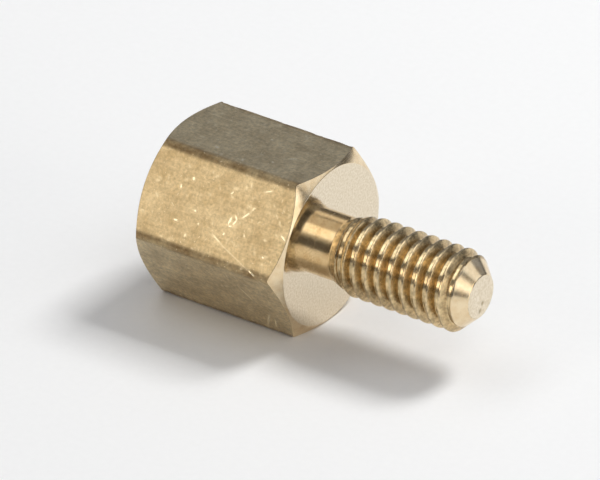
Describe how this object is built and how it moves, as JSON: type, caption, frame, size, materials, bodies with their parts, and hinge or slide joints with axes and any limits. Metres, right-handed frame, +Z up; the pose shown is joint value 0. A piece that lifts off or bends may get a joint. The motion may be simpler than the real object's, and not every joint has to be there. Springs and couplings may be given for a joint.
{
  "type": "hex thumbscrew",
  "caption": "Short brass screw with a chamfered hexagon body, a relieved neck and a right-hand threaded stud with a coned tip, turned from hexagon bar.",
  "frame": {"origin": "on the screw's axis, in the plane of the shoulder where the stud leaves the hexagon body", "axes": "+X along the stud towards its tip; +Z up, square to the flat that it lies on"},
  "size_m": [0.0195, 0.0108, 0.0096],
  "materials": {
    "brass": "drawn hexagon flats, dulled and nicked; turned face, neck, thread and tip, brighter"
  },
  "bodies": {
    "root": {"thumbscrew": "brass"}
  },
  "joints": []
}
